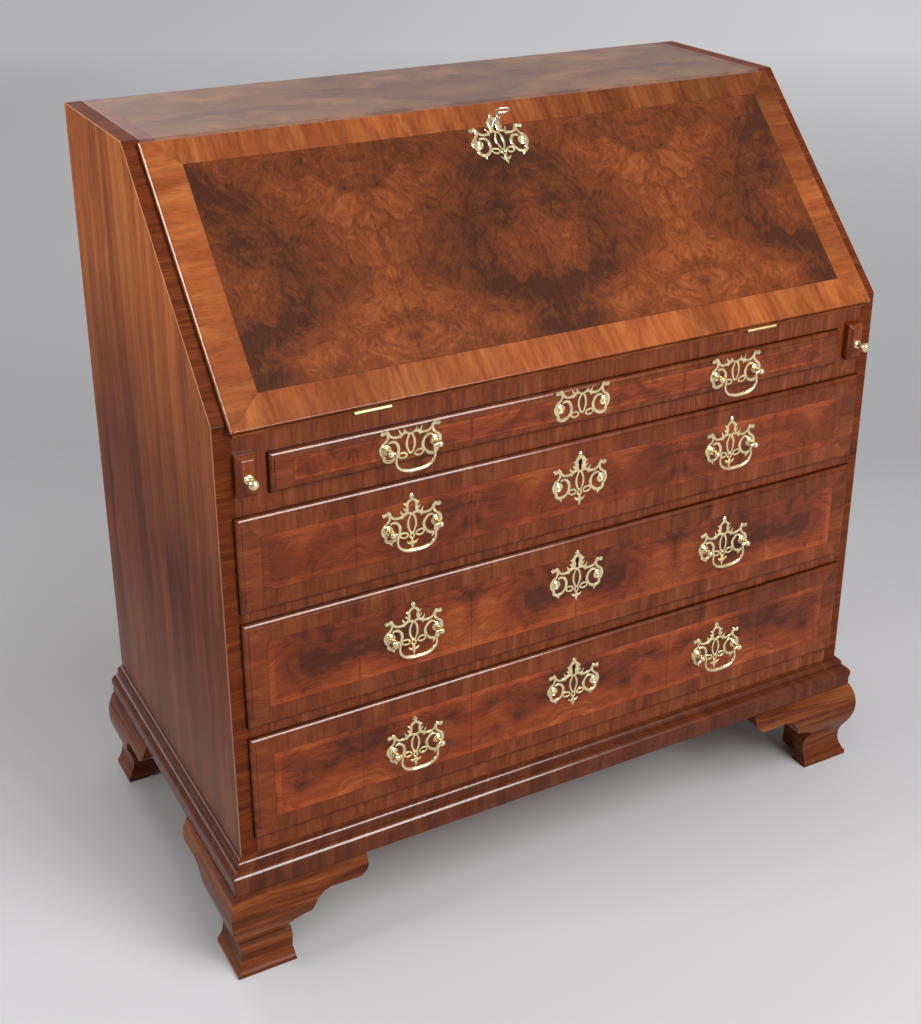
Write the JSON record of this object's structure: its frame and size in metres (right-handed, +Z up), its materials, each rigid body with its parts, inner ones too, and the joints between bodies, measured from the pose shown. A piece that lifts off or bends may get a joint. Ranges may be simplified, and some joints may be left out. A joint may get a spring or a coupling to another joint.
{
  "type": "writing bureau",
  "caption": "Slant-front walnut writing bureau on ogee bracket feet, with a hinged fall, sliding lopers, lipped drawers, pierced brass handles and a fitted desk interior.",
  "frame": {"origin": "on the floor, midway between the sides and midway between the loper knobs' tips and the back", "axes": "+X to the right seen from the front, +Y towards the back, +Z up"},
  "size_m": [0.983, 0.519, 0.995],
  "materials": {
    "walnut": "french polished, figured",
    "oak": "plain",
    "brass": "polished",
    "steel": "dull"
  },
  "bodies": {
    "case": {"back_boards": "oak", "base_moulding_front": "walnut", "base_moulding_left": "walnut", "base_moulding_right": "walnut", "bottom_board": "oak", "bottom_rail": "walnut", "cupboard_hinge_frame": "brass", "desk_board": "walnut", "divider_lower": "oak", "divider_middle": "oak", "divider_upper": "oak", "foot_front_left": "walnut", "foot_front_right": "walnut", "foot_rear_left": "walnut", "foot_rear_right": "walnut", "hinge_desk_leaves": "brass", "loper_partitions": "oak", "pigeonhole_arcades": "walnut", "pigeonhole_dividers": "walnut", "pigeonhole_shelves": "walnut", "side_left": "walnut", "side_right": "walnut", "top_board": "walnut", "top_rail": "walnut"},
    "fall": {"fall_front": "walnut", "hinge_fall_leaves": "brass", "fall_escutcheon": "brass", "fall_lock_case": "brass"},
    "fall_bolt": {"fall_lock_bolt": "steel"},
    "fall_key": {"fall_key": "steel"},
    "loper_left": {"loper_left": "oak", "loper_knob_left": "brass"},
    "loper_right": {"loper_right": "oak", "loper_knob_right": "brass"},
    "cupboard_door": {"cupboard_door": "walnut", "cupboard_hinge_door": "brass"},
    "drawer_lower": {"drawer_front_lower": "walnut", "drawer_box_lower": "oak", "drawer_brasses_lower": "brass"},
    "bail_lower_left": {"bail_lower_left": "brass"},
    "bail_lower_right": {"bail_lower_right": "brass"},
    "drawer_middle": {"drawer_front_middle": "walnut", "drawer_box_middle": "oak", "drawer_brasses_middle": "brass"},
    "bail_middle_left": {"bail_middle_left": "brass"},
    "bail_middle_right": {"bail_middle_right": "brass"},
    "drawer_upper": {"drawer_front_upper": "walnut", "drawer_box_upper": "oak", "drawer_brasses_upper": "brass"},
    "bail_upper_left": {"bail_upper_left": "brass"},
    "bail_upper_right": {"bail_upper_right": "brass"},
    "drawer_top": {"drawer_front_top": "walnut", "drawer_box_top": "oak", "drawer_brasses_top": "brass"},
    "bail_top_left": {"bail_top_left": "brass"},
    "bail_top_right": {"bail_top_right": "brass"},
    "letter_drawer_inner_left": {"letter_drawer_inner_left": "walnut"},
    "letter_drawer_inner_right": {"letter_drawer_inner_right": "walnut"},
    "letter_drawer_outer_left": {"letter_drawer_outer_left": "walnut"},
    "letter_drawer_outer_right": {"letter_drawer_outer_right": "walnut"}
  },
  "joints": [
    {"name": "fall_hinge", "type": "hinge", "parent": "case", "child": "fall", "pos_m": [0, -0.2265, 0.717], "axis": [1, 0, 0], "range_deg": [0, 134]},
    {"name": "key_turn", "type": "hinge", "parent": "fall", "child": "fall_key", "pos_m": [0, -0.00498, 0.96165], "axis": [0, -0.7193, 0.6947], "range_deg": [0, 180]},
    {"name": "bolt_slide", "type": "slide", "parent": "fall", "child": "fall_bolt", "axis": [0, 0.6947, 0.7193], "range_m": [0, 0.009]},
    {"name": "loper_left_slide", "type": "slide", "parent": "case", "child": "loper_left", "axis": [0, -1, 0], "range_m": [0, 0.25]},
    {"name": "loper_right_slide", "type": "slide", "parent": "case", "child": "loper_right", "axis": [0, -1, 0], "range_m": [0, 0.25]},
    {"name": "drawer_lower_slide", "type": "slide", "parent": "case", "child": "drawer_lower", "axis": [0, -1, 0], "range_m": [0, 0.33]},
    {"name": "bail_lower_left_hinge", "type": "hinge", "parent": "drawer_lower", "child": "bail_lower_left", "pos_m": [-0.232, -0.2468, 0.255], "axis": [-1, 0, 0], "range_deg": [0, 100]},
    {"name": "bail_lower_right_hinge", "type": "hinge", "parent": "drawer_lower", "child": "bail_lower_right", "pos_m": [0.232, -0.2468, 0.255], "axis": [-1, 0, 0], "range_deg": [0, 100]},
    {"name": "drawer_middle_slide", "type": "slide", "parent": "case", "child": "drawer_middle", "axis": [0, -1, 0], "range_m": [0, 0.33]},
    {"name": "bail_middle_left_hinge", "type": "hinge", "parent": "drawer_middle", "child": "bail_middle_left", "pos_m": [-0.232, -0.2468, 0.418], "axis": [-1, 0, 0], "range_deg": [0, 100]},
    {"name": "bail_middle_right_hinge", "type": "hinge", "parent": "drawer_middle", "child": "bail_middle_right", "pos_m": [0.232, -0.2468, 0.418], "axis": [-1, 0, 0], "range_deg": [0, 100]},
    {"name": "drawer_upper_slide", "type": "slide", "parent": "case", "child": "drawer_upper", "axis": [0, -1, 0], "range_m": [0, 0.33]},
    {"name": "bail_upper_left_hinge", "type": "hinge", "parent": "drawer_upper", "child": "bail_upper_left", "pos_m": [-0.232, -0.2468, 0.5635], "axis": [-1, 0, 0], "range_deg": [0, 100]},
    {"name": "bail_upper_right_hinge", "type": "hinge", "parent": "drawer_upper", "child": "bail_upper_right", "pos_m": [0.232, -0.2468, 0.5635], "axis": [-1, 0, 0], "range_deg": [0, 100]},
    {"name": "drawer_top_slide", "type": "slide", "parent": "case", "child": "drawer_top", "axis": [0, -1, 0], "range_m": [0, 0.3]},
    {"name": "bail_top_left_hinge", "type": "hinge", "parent": "drawer_top", "child": "bail_top_left", "pos_m": [-0.232, -0.2468, 0.667], "axis": [-1, 0, 0], "range_deg": [0, 100]},
    {"name": "bail_top_right_hinge", "type": "hinge", "parent": "drawer_top", "child": "bail_top_right", "pos_m": [0.232, -0.2468, 0.667], "axis": [-1, 0, 0], "range_deg": [0, 100]},
    {"name": "letter_drawer_inner_left_slide", "type": "slide", "parent": "case", "child": "letter_drawer_inner_left", "axis": [0, -1, 0], "range_m": [0, 0.155]},
    {"name": "letter_drawer_inner_right_slide", "type": "slide", "parent": "case", "child": "letter_drawer_inner_right", "axis": [0, -1, 0], "range_m": [0, 0.155]},
    {"name": "letter_drawer_outer_left_slide", "type": "slide", "parent": "case", "child": "letter_drawer_outer_left", "axis": [0, -1, 0], "range_m": [0, 0.155]},
    {"name": "letter_drawer_outer_right_slide", "type": "slide", "parent": "case", "child": "letter_drawer_outer_right", "axis": [0, -1, 0], "range_m": [0, 0.155]},
    {"name": "cupboard_door_hinge", "type": "hinge", "parent": "case", "child": "cupboard_door", "pos_m": [-0.058, 0.0247, 0.7855], "axis": [0, 0, -1], "range_deg": [0, 90]}
  ],
  "couplings": [
    {"joint": "bolt_slide", "follows": "key_turn", "m_per_rad": 0.0028648}
  ]
}
